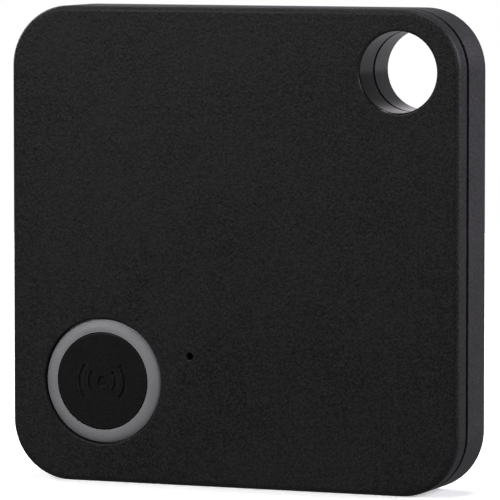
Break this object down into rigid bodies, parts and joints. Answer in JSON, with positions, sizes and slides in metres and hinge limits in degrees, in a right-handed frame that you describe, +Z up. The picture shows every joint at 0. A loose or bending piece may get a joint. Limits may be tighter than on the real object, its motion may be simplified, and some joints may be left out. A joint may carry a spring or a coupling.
{
  "type": "bluetooth tracker tag",
  "caption": "Square rounded tracker tag with a corner lanyard hole, a ringed push button, a buzzer pinhole and a clip-fitted back over a coin cell.",
  "frame": {"origin": "under the middle of the bottom edge, half way between the front and rear faces, with the tag standing upright", "axes": "+X to the right as seen from the front, +Y from the front face through the tag to the rear face, +Z up towards the edge with the lanyard hole"},
  "size_m": [0.037, 0.0064, 0.037],
  "materials": {
    "front_plastic": "satin",
    "rear_plastic": "satin",
    "grey_ring": "satin",
    "button_plastic": "satin",
    "solder_mask": "satin",
    "black_resin": "matte",
    "plated_steel": "satin",
    "ivory_plastic": "satin",
    "gold_plate": "satin",
    "tan_ceramic": "matte",
    "solder": "satin",
    "ferrite": "matte",
    "brass_plate": "satin",
    "white_ceramic": "matte",
    "adhesive_tape": "matte",
    "nickel_strip": "satin",
    "cell_steel": "satin",
    "gasket_plastic": "satin",
    "black_foam": "matte"
  },
  "bodies": {
    "front_half": {"front_cover": "front_plastic", "button_ring": "grey_ring", "circuit_board": "solder_mask", "switch_base": "black_resin", "switch_frame": "plated_steel", "switch_dome": "plated_steel", "bluetooth_chip": "black_resin", "radio_crystal": "plated_steel", "clock_crystal": "plated_steel", "antenna_trace": "gold_plate", "capacitors": "tan_ceramic", "resistors": "black_resin", "component_end_caps": "solder", "boost_inductor": "ferrite", "buzzer_driver": "black_resin", "reservoir_capacitor": "tan_ceramic", "piezo_plate": "brass_plate", "piezo_ceramic": "white_ceramic", "piezo_adhesive": "adhesive_tape", "plate_contact": "gold_plate", "ceramic_contact": "gold_plate", "battery_cradle": "ivory_plastic", "positive_contact": "nickel_strip", "negative_contact": "nickel_strip", "solder_pads": "solder", "test_pads": "gold_plate"},
    "rear_half": {"rear_cover": "rear_plastic", "cell_pad": "black_foam"},
    "button": {"button_cap": "button_plastic", "switch_plunger": "ivory_plastic"},
    "coin_cell": {"cell_can": "cell_steel", "cell_gasket": "gasket_plastic", "cell_cap": "cell_steel"}
  },
  "joints": [
    {"name": "button_press", "type": "slide", "parent": "front_half", "child": "button", "axis": [0, 1, 0], "range_m": [0, 0.0002], "stiffness_N_per_m": 3000, "springref_m": -0.0001, "deforming": ["switch_dome"]},
    {"name": "rear_cover_off", "type": "slide", "parent": "front_half", "child": "rear_half", "axis": [0, 1, 0], "range_m": [0, 0.02]},
    {"name": "cell_out", "type": "slide", "parent": "front_half", "child": "coin_cell", "axis": [0, 1, 0], "range_m": [0, 0.008]}
  ],
  "couplings": [
    {"joint": "cell_out", "follows": "rear_cover_off", "ratio": 0.4}
  ]
}
